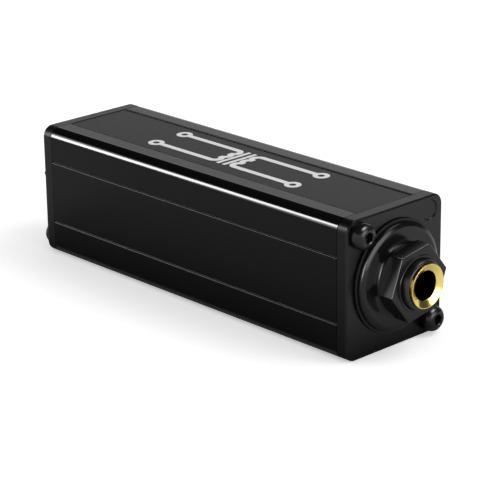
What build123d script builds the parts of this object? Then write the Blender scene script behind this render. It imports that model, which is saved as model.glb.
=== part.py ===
from build123d import *

import math
import os

os.makedirs("parts", exist_ok=True)

# An in-line isolator: an extruded aluminium box with a 6.35 mm socket in each end cap and a
# small audio transformer on a board between them.
# All sizes are in millimetres. X runs along the box and +X is the front socket's end, Z is up,
# and the box stands on Z = 0 with its middle over the origin.

# Box
body_length = 93.0
body_width = 29.0
body_height = 31.0
corner_radius = 2.6
wall_thickness = 2.0
cavity_corner_radius = 1.0
side_groove_rise = 7.35  # from the middle of the side up, and down, to its two grooves
side_groove_depth = 0.25

# Clearances between neighbouring pieces
fit_gap = 0.05  # screwed, pressed or wound together
seat_gap = 0.1  # standing or sliding in a seat
locating_gap = 0.2  # located loosely

# Recess along the top, its inlaid plate and the print on it
recess_width = 16.6
recess_depth = 0.8
plate_thickness = 0.7
plate_side_gap = 0.2
print_thickness = 0.08
print_centre_x = 1.5
print_half_length = 24.0
print_stroke = 1.4
print_coil_place = 3.9
print_hump_radius = 1.45
print_hump_count = 3
print_core_bar_place = 0.95
print_core_bar_width = 0.9
print_terminal_radius = 1.9
print_terminal_hole = 0.8

# End caps
cap_thickness = 3.0
cap_edge_round = 0.4
cap_seam_chamfer = 0.15
spigot_depth = 1.2
badge_inset_y = 3.9
badge_inset_z = 3.2
badge_radius = 2.3
badge_depth = 0.25

# Cap screws and the channels that they run in
screw_inset_y = 3.7
screw_inset_z = 3.5
screw_radius = 1.45
screw_length = 12.0
screw_head_radius = 2.85
screw_head_height = 2.7
screw_head_round = 1.5
screw_socket_flats = 2.2
screw_socket_depth = 1.3
screw_clearance = 0.25
channel_radius = 2.7

# Circuit board and the ribs over it
board_thickness = 1.6
board_end_gap = 0.3
rib_depth = 1.2
rib_thickness = 1.1
lead_stickout = 1.2  # how far pins and leads reach out under the board
hole_clearance = 0.15  # between a round pin or lead and its hole

# Socket bore, measured from the mouth of the ferrule
plug_bore_radius = 3.25
plug_bore_depth = 31.5
socket_rise = 0.4  # of the socket's axis above the middle of the box
inner_bore_clearance = 0.25
mouth_proud = 9.3

# Ferrule
ferrule_rim_radius = 4.9
ferrule_rim_height = 0.7
ferrule_rim_chamfer = 0.15
ferrule_rim_crest = 0.15  # flat ring between the chamfer and the funnel
ferrule_sleeve_wall = 0.95
ferrule_reach = 2.2  # of the ferrule's tail behind the front of the housing's block

# Socket housing
bushing_radius = 5.5
bushing_end_round = 1.0
bushing_clearance = 0.15
housing_width = 14.6
housing_end_wall = 1.5
housing_edge_round = 0.6
contact_window_gap = 0.5

# Socket contacts
contact_thickness = 0.4
contact_width = 3.0
contact_leg_width = 1.0
contact_inset = 0.6
contact_tail = 1.6
contact_tail_rise = 1.2
contact_bend_share = 0.55
tip_touch_depth = 27.5
tip_leg_depth = 18.1
ring_touch_depth = 21.5
ring_leg_depth = 30.3
sleeve_plate_thickness = 0.5
sleeve_plate_width = 9.0
sleeve_leg_width = 1.2
sleeve_plate_clearance = 0.25

# Pieces clamped on each bushing, from the cap outwards
front_washer_thickness = 0.6
rear_washer_thickness = 1.7
washer_margin = 2.0  # from the washer's rim to the cap's nearest side
washer_edge_round = 0.15
flange_inset = 0.5  # of the ring's rim from the washer's
flange_thickness = 1.3
flange_bevel_height = 0.5
flange_bevel_width = 1.0
nut_height = 5.2
nut_corner_radius = 8.6
nut_flare_radius = 8.9
nut_flare_height = 0.55
nut_edge_chamfer = 0.2
nut_mouth_chamfer = 0.6
front_nut_turn = 8.6
rear_nut_turn = 3.0

# Transformer: the laminations' widths follow an outer leg's, and the height of their windows
# follows the room between the board and the ceiling
outer_leg = 3.5
core_headroom = 2.2
stack_thickness = 9.0
core_lift = 0.5
core_gap = 0.05
bobbin_wall = 0.6
bobbin_flange = 0.7
bobbin_edge_gap = 0.15
bobbin_corner_radius = 0.5
winding_leg_gap = 0.35  # from the outer winding to the core's outer legs
barrier_thickness = 0.15
winding_end_gap = 0.05
pin_radius = 0.35
pin_end_margin = 1.85
pin_rows = 3
pin_depth = 2.5
clamp_thickness = 0.6
clamp_tab_width = 3.0

# Small components on the board
lead_radius = 0.3
resistor_length = 6.3
resistor_radius = 1.15
resistor_lift = 0.2
resistor_lead_pitch = 10.16
resistor_bend_radius = 0.8
resistor_end_round = 0.6
capacitor_radius = 3.5
capacitor_thickness = 3.0
capacitor_lift = 1.2
capacitor_lead_pitch = 5.0
capacitor_lead_seat = 1.7
capacitor_edge_round = 1.0

# Places worked out from the sizes above
total_length = body_length + 2 * cap_thickness
middle_height = body_height / 2
axis_height = middle_height + socket_rise
cavity_width = body_width - 2 * wall_thickness
cavity_height = body_height - 2 * wall_thickness
screw_y = body_width / 2 - screw_inset_y
screw_z = body_height / 2 - screw_inset_z
recess_floor_z = body_height - recess_depth
board_bottom_z = screw_inset_z + channel_radius + seat_gap
board_top_z = board_bottom_z + board_thickness
board_length = body_length - 2 * (spigot_depth + board_end_gap)
board_width = cavity_width - 2 * seat_gap
lead_end_z = board_bottom_z - lead_stickout
housing_front = cap_thickness + spigot_depth
housing_half_height = axis_height - board_top_z - seat_gap
housing_length = plug_bore_depth - mouth_proud + housing_end_wall - housing_front
bushing_proud = mouth_proud - ferrule_rim_height
ferrule_sleeve_radius = plug_bore_radius + ferrule_sleeve_wall
ferrule_tail = housing_front + ferrule_reach
sleeve_leg_depth = mouth_proud + ferrule_tail + sleeve_plate_thickness / 2
clamp_bore_radius = bushing_radius + bushing_clearance
washer_radius = min(body_width, body_height) / 2 - washer_margin
flange_radius = washer_radius - flange_inset
nut_flat_radius = nut_corner_radius * math.cos(math.radians(30))
contact_lateral = housing_width / 2 - contact_inset
core_bottom_z = board_top_z + core_lift
core_top_z = body_height - wall_thickness - core_headroom - clamp_thickness - fit_gap
window_bottom_z = core_bottom_z + outer_leg
window_top_z = core_top_z - outer_leg - core_gap
window_height = window_top_z - window_bottom_z
bobbin_bottom_z = window_bottom_z + seat_gap
bobbin_top_z = window_top_z - seat_gap
winding_bottom_z = bobbin_bottom_z + bobbin_flange + winding_end_gap
winding_height = bobbin_top_z - bobbin_flange - winding_end_gap - winding_bottom_z
winding_build = (outer_leg - seat_gap - bobbin_wall - barrier_thickness - winding_leg_gap) / 2
bobbin_margin = outer_leg - bobbin_edge_gap
pin_pitch = 2 * (outer_leg + bobbin_margin - pin_end_margin) / (pin_rows - 1)
rail_width = bobbin_margin - locating_gap
rail_y = stack_thickness / 2 + locating_gap + rail_width / 2
strap_half = 3 * outer_leg + fit_gap
component_x = (strap_half + clamp_thickness + total_length / 2 - housing_front - housing_length) / 2

ENDS = {"front": 1, "rear": -1}
WASHER_THICKNESS = {"front": front_washer_thickness, "rear": rear_washer_thickness}
NUT_TURN = {"front": front_nut_turn, "rear": rear_nut_turn}
SCREW_PLACES = [(-screw_y, screw_z), (screw_y, -screw_z)]
PIN_PLACES = [
    ((row - (pin_rows - 1) / 2) * pin_pitch, hand * rail_y)
    for hand in (-1, 1)
    for row in range(pin_rows)
]
CLAMP_TAB_PLACES = [(hand * (strap_half + clamp_thickness / 2), 0) for hand in (-1, 1)]
RESISTOR_LEAD_PLACES = [(component_x, hand * resistor_lead_pitch / 2) for hand in (-1, 1)]
CAPACITOR_LEAD_PLACES = [(-component_x, hand * capacitor_lead_pitch / 2) for hand in (-1, 1)]
SIDE_CONTACTS = {
    "tip_contact": (-1, tip_leg_depth, tip_touch_depth),
    "ring_contact": (1, ring_leg_depth, ring_touch_depth),
}


def face_plane(side):
    """Outer face of an end cap about its middle, with the normal outwards and the Y axis up."""
    return Plane(origin=(side * total_length / 2, 0, middle_height), x_dir=(0, side, 0), z_dir=(side, 0, 0))


def socket_plane(side):
    """The same face about the socket's axis."""
    return Plane(origin=(side * total_length / 2, 0, axis_height), x_dir=(0, side, 0), z_dir=(side, 0, 0))


def section_plane(side):
    """Upright plane through the socket's axis: X is the distance outwards from the cap, Y is up."""
    return Plane(origin=(side * total_length / 2, 0, axis_height), x_dir=(side, 0, 0), z_dir=(0, -side, 0))


def contact_plane(side):
    """Level plane at the contacts' lower edge: X is outwards from the cap, Y is sideways."""
    low_z = axis_height - contact_width / 2
    return Plane(origin=(side * total_length / 2, 0, low_z), x_dir=(side, 0, 0), z_dir=(0, 0, 1))


def socket_axis(side):
    """Axis of a socket, pointing outwards."""
    return Axis((side * total_length / 2, 0, axis_height), (side, 0, 0))


def board_x(side, depth):
    """X in the box of a place that lies depth behind the socket's mouth."""
    return side * (total_length / 2 + mouth_proud - depth)


def save(part, label):
    part.label = label
    export_step(part, f"parts/{label}.step")


# Body
with BuildPart() as body_shell:
    with BuildSketch(Plane.YZ.offset(-body_length / 2)):
        with Locations((0, middle_height)):
            RectangleRounded(body_width, body_height, corner_radius)
            RectangleRounded(cavity_width, cavity_height, cavity_corner_radius, mode=Mode.SUBTRACT)
            with GridLocations(2 * screw_y, 2 * screw_z, 2, 2):
                Circle(channel_radius)
                Circle(screw_radius + fit_gap, mode=Mode.SUBTRACT)
            with GridLocations(body_width, 2 * side_groove_rise, 2, 2):
                groove_side = side_groove_depth * math.sqrt(2)
                Rectangle(groove_side, groove_side, rotation=45, mode=Mode.SUBTRACT)
        with Locations((0, recess_floor_z)):
            Rectangle(recess_width, 2 * recess_depth, align=(Align.CENTER, Align.MIN), mode=Mode.SUBTRACT)
        for hand in (-1, 1):
            with Locations((hand * (cavity_width - rib_depth) / 2, board_top_z + seat_gap)):
                Rectangle(rib_depth, rib_thickness, align=(Align.CENTER, Align.MIN))
    extrude(amount=body_length)
save(body_shell.part, "body_shell")

# Inlaid plate
with BuildPart() as top_label_plate:
    with BuildSketch(Plane.XY.offset(recess_floor_z)):
        Rectangle(body_length - 2 * seat_gap, recess_width - 2 * plate_side_gap)
    extrude(amount=plate_thickness)
save(top_label_plate.part, "top_label_plate")

# Print on the plate: the circuit symbol of a transformer with its four terminals
with BuildPart() as label_marking:
    with BuildSketch(Plane.XY.offset(recess_floor_z + plate_thickness)):
        coil_half = print_hump_count * print_hump_radius
        terminal_x = print_half_length - print_terminal_radius
        lead_length = terminal_x - print_terminal_radius - print_coil_place + print_stroke / 2
        for hand in (-1, 1):
            coil_x = print_centre_x + hand * print_coil_place
            for hump in range(print_hump_count):
                hump_y = (2 * hump + 1) * print_hump_radius - coil_half
                with BuildLine():
                    CenterArc((coil_x, hump_y), print_hump_radius, 90 if hand > 0 else -90, 180)
                trace(line_width=print_stroke)
            for rail in (-1, 1):
                lead_x = coil_x + hand * (lead_length / 2 - fit_gap)
                with Locations((lead_x, rail * coil_half)):
                    Rectangle(lead_length, print_stroke)
                with Locations((print_centre_x + hand * terminal_x, rail * coil_half)):
                    Circle(print_terminal_radius)
                    Circle(print_terminal_hole, mode=Mode.SUBTRACT)
            with Locations((print_centre_x + hand * print_core_bar_place, 0)):
                Rectangle(print_core_bar_width, 2 * coil_half + print_stroke)
    extrude(amount=print_thickness)
save(label_marking.part, "label_marking")

# End caps: a plate with a cross-shaped spigot that fits between the screw channels
for end, side in ENDS.items():
    face = face_plane(side)
    inner_face = face.offset(-cap_thickness)
    with BuildPart() as end_cap:
        with BuildSketch(inner_face):
            RectangleRounded(body_width, body_height, corner_radius)
        extrude(amount=cap_thickness)
        end_faces = end_cap.faces().filter_by(Axis.X).sort_by(Axis.X)
        outer_edges = end_faces[-1 if side > 0 else 0].edges()
        seam_edges = end_faces[0 if side > 0 else -1].edges()
        fillet(outer_edges, cap_edge_round)
        chamfer(seam_edges, cap_seam_chamfer)
        with BuildSketch(inner_face):
            spigot_half_width = cavity_width / 2 - rib_depth - locating_gap
            Rectangle(2 * spigot_half_width, 2 * (screw_z - channel_radius - locating_gap))
            Rectangle(2 * (screw_y - channel_radius - locating_gap), cavity_height - 2 * locating_gap)
        extrude(amount=-spigot_depth)
        with BuildSketch(face):
            with Locations((0, socket_rise)):
                Circle(clamp_bore_radius)
            with Locations(*SCREW_PLACES):
                Circle(screw_radius + screw_clearance)
        extrude(amount=-housing_front, mode=Mode.SUBTRACT)
        with BuildSketch(face):
            with Locations((body_width / 2 - badge_inset_y, body_height / 2 - badge_inset_z)):
                Circle(badge_radius)
        extrude(amount=-badge_depth, mode=Mode.SUBTRACT)
    save(end_cap.part, f"{end}_end_cap")

# Cap screws: two in opposite corners of each cap
for end, side in ENDS.items():
    face = face_plane(side)
    with BuildPart() as cap_screws:
        with BuildSketch(face):
            with Locations(*SCREW_PLACES):
                Circle(screw_head_radius)
        extrude(amount=screw_head_height)
        rims = cap_screws.edges().filter_by(GeomType.CIRCLE).group_by(Axis.X)[-1 if side > 0 else 0]
        fillet(rims, screw_head_round)
        with BuildSketch(face.offset(screw_head_height)):
            with Locations(*SCREW_PLACES):
                RegularPolygon(screw_socket_flats / 2, 6, major_radius=False)
        extrude(amount=-screw_socket_depth, mode=Mode.SUBTRACT)
        with BuildSketch(face):
            with Locations(*SCREW_PLACES):
                Circle(screw_radius)
        extrude(amount=-screw_length)
    save(cap_screws.part, f"{end}_cap_screws")

# Socket housings: one moulding with its threaded bushing, a blind plug bore, a window in each
# side for a contact, and a slot from below for the sleeve contact
for end, side in ENDS.items():
    face = socket_plane(side)
    with BuildPart() as jack_housing:
        with BuildSketch(face.offset(-housing_front)):
            Rectangle(housing_width, 2 * housing_half_height)
        extrude(amount=-housing_length)
        fillet(jack_housing.edges().filter_by(Axis.X), housing_edge_round)
        with BuildSketch(face.offset(-housing_front)):
            Circle(bushing_radius)
        extrude(amount=housing_front + bushing_proud)
        bushing_rim = jack_housing.edges().filter_by(GeomType.CIRCLE).sort_by(Axis.X)[-1 if side > 0 else 0]
        fillet(bushing_rim, bushing_end_round)
        with BuildSketch(face.offset(bushing_proud)):
            Circle(ferrule_sleeve_radius + fit_gap)
        extrude(amount=-(bushing_proud + ferrule_tail), mode=Mode.SUBTRACT)
        with BuildSketch(face.offset(bushing_proud)):
            Circle(plug_bore_radius + inner_bore_clearance)
        extrude(amount=ferrule_rim_height - plug_bore_depth, mode=Mode.SUBTRACT)
        with BuildSketch(face.offset(-ferrule_tail)):
            with Locations((0, -housing_half_height)):
                Rectangle(
                    sleeve_plate_width + 2 * fit_gap,
                    housing_half_height + sleeve_plate_width / 2 + fit_gap,
                    align=(Align.CENTER, Align.MIN),
                )
        extrude(amount=-(sleeve_plate_thickness + fit_gap), mode=Mode.SUBTRACT)
        for hand, leg_depth, touch_depth in SIDE_CONTACTS.values():
            ahead = 1 if touch_depth < leg_depth else -1
            groove_width = contact_leg_width + 2 * locating_gap
            window_start = mouth_proud - leg_depth - ahead * groove_width / 2
            window_end = mouth_proud - touch_depth + ahead * (contact_tail + contact_leg_width / 2)
            with BuildSketch(section_plane(side)):
                with Locations(((window_start + window_end) / 2, 0)):
                    Rectangle(abs(window_end - window_start), contact_width + 2 * contact_window_gap)
                with Locations((mouth_proud - leg_depth, 0)):
                    Rectangle(groove_width, housing_half_height, align=(Align.CENTER, Align.MAX))
            extrude(amount=-hand * housing_width / 2, mode=Mode.SUBTRACT)
    save(jack_housing.part, f"{end}_jack_housing")

# Ferrules: a turned sleeve with a funnelled rim that covers the end of the bushing
for end, side in ENDS.items():
    with BuildPart() as jack_ferrule:
        with BuildSketch(section_plane(side)):
            with BuildLine():
                Polyline(
                    (bushing_proud, ferrule_rim_radius),
                    (mouth_proud - ferrule_rim_chamfer, ferrule_rim_radius),
                    (mouth_proud, ferrule_rim_radius - ferrule_rim_chamfer),
                    (mouth_proud, ferrule_rim_radius - ferrule_rim_chamfer - ferrule_rim_crest),
                    (bushing_proud, plug_bore_radius),
                    (-ferrule_tail, plug_bore_radius),
                    (-ferrule_tail, ferrule_sleeve_radius),
                    (bushing_proud, ferrule_sleeve_radius),
                    close=True,
                )
            make_face()
        revolve(axis=socket_axis(side))
    save(jack_ferrule.part, f"{end}_jack_ferrule")

# Side contacts: a bent leaf that touches the plug, with a leg through the board
for end, side in ENDS.items():
    for name, (hand, leg_depth, touch_depth) in SIDE_CONTACTS.items():
        leg_at = mouth_proud - leg_depth
        touch_at = mouth_proud - touch_depth
        ahead = 1 if touch_at > leg_at else -1
        touch_lateral = plug_bore_radius + contact_thickness
        with BuildPart() as side_contact:
            with BuildSketch(contact_plane(side)):
                with BuildLine():
                    Polyline(
                        (leg_at - ahead * contact_leg_width / 2, hand * contact_lateral),
                        (leg_at + contact_bend_share * (touch_at - leg_at), hand * contact_lateral),
                        (touch_at, hand * touch_lateral),
                        (touch_at + ahead * contact_tail, hand * (touch_lateral + contact_tail_rise)),
                    )
                trace(line_width=contact_thickness)
            extrude(amount=contact_width)
            with BuildSketch(contact_plane(side)):
                with Locations((leg_at, hand * contact_lateral)):
                    Rectangle(contact_leg_width, contact_thickness)
            extrude(amount=lead_end_z - axis_height + contact_width / 2)
        save(side_contact.part, f"{end}_{name}")

# Sleeve contacts: a pierced plate against the tail of the ferrule, with a leg through the board
for end, side in ENDS.items():
    with BuildPart() as sleeve_contact:
        with BuildSketch(socket_plane(side).offset(-ferrule_tail)):
            with Locations((0, board_top_z + seat_gap - axis_height)):
                Rectangle(
                    sleeve_plate_width,
                    housing_half_height + sleeve_plate_width / 2,
                    align=(Align.CENTER, Align.MIN),
                )
            Circle(plug_bore_radius + sleeve_plate_clearance, mode=Mode.SUBTRACT)
            with Locations((0, lead_end_z - axis_height)):
                Rectangle(
                    sleeve_leg_width,
                    board_top_z + seat_gap - lead_end_z,
                    align=(Align.CENTER, Align.MIN),
                )
        extrude(amount=-sleeve_plate_thickness)
    save(sleeve_contact.part, f"{end}_sleeve_contact")

# Sealing washers, flange rings and hexagon nuts on the bushings
for end, side in ENDS.items():
    face = socket_plane(side)
    flange_start = WASHER_THICKNESS[end]
    nut_start = flange_start + flange_thickness
    nut_end = nut_start + nut_height

    with BuildPart() as sealing_washer:
        with BuildSketch(face):
            Circle(washer_radius)
            Circle(clamp_bore_radius, mode=Mode.SUBTRACT)
        extrude(amount=flange_start)
        washer_rim = sealing_washer.faces().filter_by(GeomType.CYLINDER).sort_by(SortBy.AREA)[-1].edges()
        fillet(washer_rim.filter_by(GeomType.CIRCLE), washer_edge_round)
    save(sealing_washer.part, f"{end}_sealing_washer")

    with BuildPart() as flange_ring:
        with BuildSketch(section_plane(side)):
            with BuildLine():
                Polyline(
                    (flange_start, clamp_bore_radius),
                    (flange_start, flange_radius),
                    (nut_start - flange_bevel_height, flange_radius),
                    (nut_start, flange_radius - flange_bevel_width),
                    (nut_start, clamp_bore_radius),
                    close=True,
                )
            make_face()
        revolve(axis=socket_axis(side))
    save(flange_ring.part, f"{end}_flange_ring")

    # The nut's base is turned: a flare on the ring, then a bevel up to the hexagon's corners.
    with BuildPart() as hex_nut:
        flare_end = nut_start + nut_flare_height
        bevel_end = flare_end + nut_corner_radius - nut_flat_radius
        with BuildSketch(face.offset(flare_end)):
            RegularPolygon(nut_corner_radius, 6, rotation=NUT_TURN[end])
        extrude(amount=nut_end - flare_end)
        front_face = hex_nut.faces().filter_by(Axis.X).sort_by(Axis.X)[-1 if side > 0 else 0]
        chamfer(front_face.edges(), nut_edge_chamfer)
        with BuildSketch(section_plane(side)):
            with BuildLine():
                Polyline(
                    (flare_end, 0),
                    (flare_end, nut_flat_radius),
                    (bevel_end, nut_corner_radius),
                    (nut_end, nut_corner_radius),
                    (nut_end, 0),
                    close=True,
                )
            make_face()
        revolve(axis=socket_axis(side), mode=Mode.INTERSECT)
        with BuildSketch(section_plane(side)):
            with BuildLine():
                Line((flare_end, 0), (nut_start, 0))
                Line((nut_start, 0), (nut_start, nut_flare_radius))
                TangentArc(
                    (nut_start, nut_flare_radius),
                    (flare_end, nut_flat_radius),
                    tangent=(0, -1),
                )
                Line((flare_end, nut_flat_radius), (flare_end, 0))
            make_face()
        revolve(axis=socket_axis(side))
        with BuildSketch(face.offset(nut_end)):
            Circle(bushing_radius + fit_gap)
        extrude(amount=-(nut_end - nut_start), mode=Mode.SUBTRACT)
        mouth = hex_nut.edges().filter_by(GeomType.CIRCLE).group_by(Axis.X)[-1 if side > 0 else 0]
        chamfer(mouth.sort_by(SortBy.RADIUS)[0], nut_mouth_chamfer)
    save(hex_nut.part, f"{end}_hex_nut")

# Circuit board with its holes for legs, pins, tabs and leads
with BuildPart() as circuit_board:
    with BuildSketch(Plane.XY.offset(board_bottom_z)):
        Rectangle(board_length, board_width)
        for side in ENDS.values():
            for hand, leg_depth, touch_depth in SIDE_CONTACTS.values():
                with Locations((board_x(side, leg_depth), hand * side * contact_lateral)):
                    Circle(
                        math.hypot(contact_leg_width, contact_thickness) / 2 + seat_gap,
                        mode=Mode.SUBTRACT,
                    )
            with Locations((board_x(side, sleeve_leg_depth), 0)):
                Circle(
                    math.hypot(sleeve_leg_width, sleeve_plate_thickness) / 2 + seat_gap,
                    mode=Mode.SUBTRACT,
                )
        with Locations(*PIN_PLACES):
            Circle(pin_radius + hole_clearance, mode=Mode.SUBTRACT)
        with Locations(*RESISTOR_LEAD_PLACES, *CAPACITOR_LEAD_PLACES):
            Circle(lead_radius + hole_clearance, mode=Mode.SUBTRACT)
        with Locations(*CLAMP_TAB_PLACES):
            Rectangle(
                clamp_thickness + 2 * seat_gap,
                clamp_tab_width + 2 * seat_gap,
                mode=Mode.SUBTRACT,
            )
    extrude(amount=board_thickness)
save(circuit_board.part, "circuit_board")

# Transformer core: a stack of E laminations closed by a stack of I laminations
with BuildPart() as transformer_e_core:
    with BuildSketch(Plane.XZ):
        with Locations((0, core_bottom_z)):
            Rectangle(6 * outer_leg, outer_leg + window_height, align=(Align.CENTER, Align.MIN))
        for hand in (-1, 1):
            with Locations((hand * 1.5 * outer_leg, window_bottom_z)):
                Rectangle(
                    outer_leg,
                    window_height,
                    align=(Align.CENTER, Align.MIN),
                    mode=Mode.SUBTRACT,
                )
    extrude(amount=stack_thickness / 2, both=True)
save(transformer_e_core.part, "transformer_e_core")

with BuildPart() as transformer_i_core:
    with BuildSketch(Plane.XZ):
        with Locations((0, core_top_z)):
            Rectangle(6 * outer_leg, outer_leg, align=(Align.CENTER, Align.MAX))
    extrude(amount=stack_thickness / 2, both=True)
save(transformer_i_core.part, "transformer_i_core")

# Bobbin on the middle leg, with a rail of pins on each side that stands on the board
tube_inner_x = 2 * outer_leg + 2 * seat_gap
tube_inner_y = stack_thickness + 2 * seat_gap
tube_outer_x = tube_inner_x + 2 * bobbin_wall
tube_outer_y = tube_inner_y + 2 * bobbin_wall
flange_x = 2 * outer_leg + 2 * bobbin_margin
flange_y = stack_thickness + 2 * bobbin_margin
with BuildPart() as transformer_bobbin:
    with BuildSketch(Plane.XY.offset(bobbin_bottom_z)):
        Rectangle(flange_x, flange_y)
    extrude(amount=bobbin_flange)
    with BuildSketch(Plane.XY.offset(bobbin_top_z)):
        Rectangle(flange_x, flange_y)
    extrude(amount=-bobbin_flange)
    with BuildSketch(Plane.XY.offset(bobbin_bottom_z)):
        RectangleRounded(tube_outer_x, tube_outer_y, bobbin_corner_radius)
    extrude(amount=bobbin_top_z - bobbin_bottom_z)
    with BuildSketch(Plane.XY.offset(board_top_z)):
        with Locations((0, rail_y), (0, -rail_y)):
            Rectangle(flange_x, rail_width)
    extrude(amount=bobbin_bottom_z - board_top_z)
    with BuildSketch(Plane.XY.offset(bobbin_bottom_z)):
        Rectangle(tube_inner_x, tube_inner_y)
    extrude(amount=bobbin_top_z - bobbin_bottom_z, mode=Mode.SUBTRACT)
    with BuildSketch(Plane.XY.offset(board_top_z)):
        with Locations(*PIN_PLACES):
            Circle(pin_radius + fit_gap)
    extrude(amount=pin_depth + fit_gap, mode=Mode.SUBTRACT)
save(transformer_bobbin.part, "transformer_bobbin")

# Windings: rings of wire on the bobbin, one outside the other, with a tape barrier between
winding_inset = 0.0
for label, build in (
    ("primary_winding", winding_build),
    ("winding_barrier", barrier_thickness),
    ("secondary_winding", winding_build),
):
    winding_outset = winding_inset + build
    with BuildPart() as winding:
        with BuildSketch(Plane.XY.offset(winding_bottom_z)):
            RectangleRounded(
                tube_outer_x + 2 * winding_outset,
                tube_outer_y + 2 * winding_outset,
                bobbin_corner_radius + winding_outset,
            )
            RectangleRounded(
                tube_outer_x + 2 * winding_inset,
                tube_outer_y + 2 * winding_inset,
                bobbin_corner_radius + winding_inset,
                mode=Mode.SUBTRACT,
            )
        extrude(amount=winding_height)
    save(winding.part, label)
    winding_inset = winding_outset

# Pins in the bobbin's rails
with BuildPart() as transformer_pins:
    with BuildSketch(Plane.XY.offset(lead_end_z)):
        with Locations(*PIN_PLACES):
            Circle(pin_radius)
    extrude(amount=board_top_z + pin_depth - lead_end_z)
save(transformer_pins.part, "transformer_pins")

# Steel strap over the core, with a tab through the board on each side
with BuildPart() as transformer_clamp:
    with BuildSketch(Plane.XZ):
        with Locations((0, board_top_z)):
            Rectangle(
                2 * (strap_half + clamp_thickness),
                core_top_z + fit_gap + clamp_thickness - board_top_z,
                align=(Align.CENTER, Align.MIN),
            )
            Rectangle(
                2 * strap_half,
                core_top_z + fit_gap - board_top_z,
                align=(Align.CENTER, Align.MIN),
                mode=Mode.SUBTRACT,
            )
    extrude(amount=stack_thickness / 2, both=True)
    strap_edges = transformer_clamp.edges().filter_by(Axis.Y).group_by(Axis.Z)[-1]
    fillet(strap_edges, clamp_thickness)
    with BuildSketch(Plane.XY.offset(lead_end_z)):
        with Locations(*CLAMP_TAB_PLACES):
            Rectangle(clamp_thickness, clamp_tab_width)
    extrude(amount=board_top_z - lead_end_z)
save(transformer_clamp.part, "transformer_clamp")

# Load resistor, lying across the board
resistor_axis_z = board_top_z + resistor_lift + resistor_radius
with BuildPart() as resistor_body:
    with BuildSketch(Plane.XZ.offset(-resistor_length / 2)):
        with Locations((component_x, resistor_axis_z)):
            Circle(resistor_radius)
    extrude(amount=resistor_length)
    fillet(resistor_body.edges().filter_by(GeomType.CIRCLE), resistor_end_round)
save(resistor_body.part, "resistor_body")

with BuildPart() as resistor_leads:
    for hand in (-1, 1):
        with BuildLine() as bent_lead:
            FilletPolyline(
                (component_x, hand * resistor_lead_pitch / 2, lead_end_z),
                (component_x, hand * resistor_lead_pitch / 2, resistor_axis_z),
                (component_x, hand * resistor_length / 2, resistor_axis_z),
                radius=resistor_bend_radius,
            )
        with BuildSketch(Plane(origin=bent_lead.line @ 0, z_dir=bent_lead.line % 0)):
            Circle(lead_radius)
        sweep(path=bent_lead.line)
save(resistor_leads.part, "resistor_leads")

# Disc capacitor, standing on its leads
capacitor_axis_z = board_top_z + capacitor_lift + capacitor_radius
lead_seat_z = capacitor_axis_z - capacitor_lead_seat
with BuildPart() as capacitor_body:
    with BuildSketch(Plane.YZ.offset(-component_x)):
        with Locations((0, capacitor_axis_z)):
            Circle(capacitor_radius)
    extrude(amount=capacitor_thickness / 2, both=True)
    fillet(capacitor_body.edges().filter_by(GeomType.CIRCLE), capacitor_edge_round)
    with BuildSketch(Plane.XY.offset(board_top_z)):
        with Locations(*CAPACITOR_LEAD_PLACES):
            Circle(lead_radius + fit_gap)
    extrude(amount=lead_seat_z + fit_gap - board_top_z, mode=Mode.SUBTRACT)
save(capacitor_body.part, "capacitor_body")

with BuildPart() as capacitor_leads:
    with BuildSketch(Plane.XY.offset(lead_end_z)):
        with Locations(*CAPACITOR_LEAD_PLACES):
            Circle(lead_radius)
    extrude(amount=lead_seat_z - lead_end_z)
save(capacitor_leads.part, "capacitor_leads")
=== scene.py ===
import math

import bmesh
import bpy
from bpy.props import FloatProperty, FloatVectorProperty, PointerProperty
from mathutils import Matrix, Quaternion, Vector


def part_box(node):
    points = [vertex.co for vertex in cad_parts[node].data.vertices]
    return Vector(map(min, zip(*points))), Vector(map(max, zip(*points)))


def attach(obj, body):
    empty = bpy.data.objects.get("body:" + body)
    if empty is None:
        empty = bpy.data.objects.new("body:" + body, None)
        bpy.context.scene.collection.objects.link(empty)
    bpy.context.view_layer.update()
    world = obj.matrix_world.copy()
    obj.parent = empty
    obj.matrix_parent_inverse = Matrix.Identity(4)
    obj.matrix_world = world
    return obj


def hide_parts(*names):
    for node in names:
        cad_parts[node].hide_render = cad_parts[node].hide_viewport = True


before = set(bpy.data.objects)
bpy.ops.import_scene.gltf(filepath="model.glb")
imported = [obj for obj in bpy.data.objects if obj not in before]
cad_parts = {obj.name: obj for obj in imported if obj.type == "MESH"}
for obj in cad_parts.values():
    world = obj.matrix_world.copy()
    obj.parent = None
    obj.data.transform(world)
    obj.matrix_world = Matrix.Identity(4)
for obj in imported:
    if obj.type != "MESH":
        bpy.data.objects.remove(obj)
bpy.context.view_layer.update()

bl_info = {
    "name": "Ground Loop Isolator",
    "version": (1, 0, 0),
    "blender": (4, 5, 0),
    "location": "3D View > Sidebar > Isolator",
    "description": "Dresses an in-line audio isolator: case, caps, sockets and what is inside",
    "category": "Object",
}

# Shapes are modelled in millimetres and made metres when they become a piece.
MM = 0.001
# Points nearer than WELD become one, and points on one plane differ by less than LEVEL.
WELD = 1e-4
LEVEL = 1e-5
# How far a cutting shape goes past what it cuts.
OVERCUT = 1.0
SPIGOT_GAP = 0.2
SCREW_HOLE_GAP = 0.25
THREAD_GAP = 0.05
TURNED_STEPS = 128
HOLE_STEPS = 48
DISH_STEPS = 64
CORNER_STEPS = 16
ROUND_STEPS = 5
FINE_STEPS = 2
EDGE_STEPS = 4
FOOT_STEPS = 8
CREASE_ANGLE = math.radians(28)
FLAT_ANGLE = math.radians(0.5)
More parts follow.
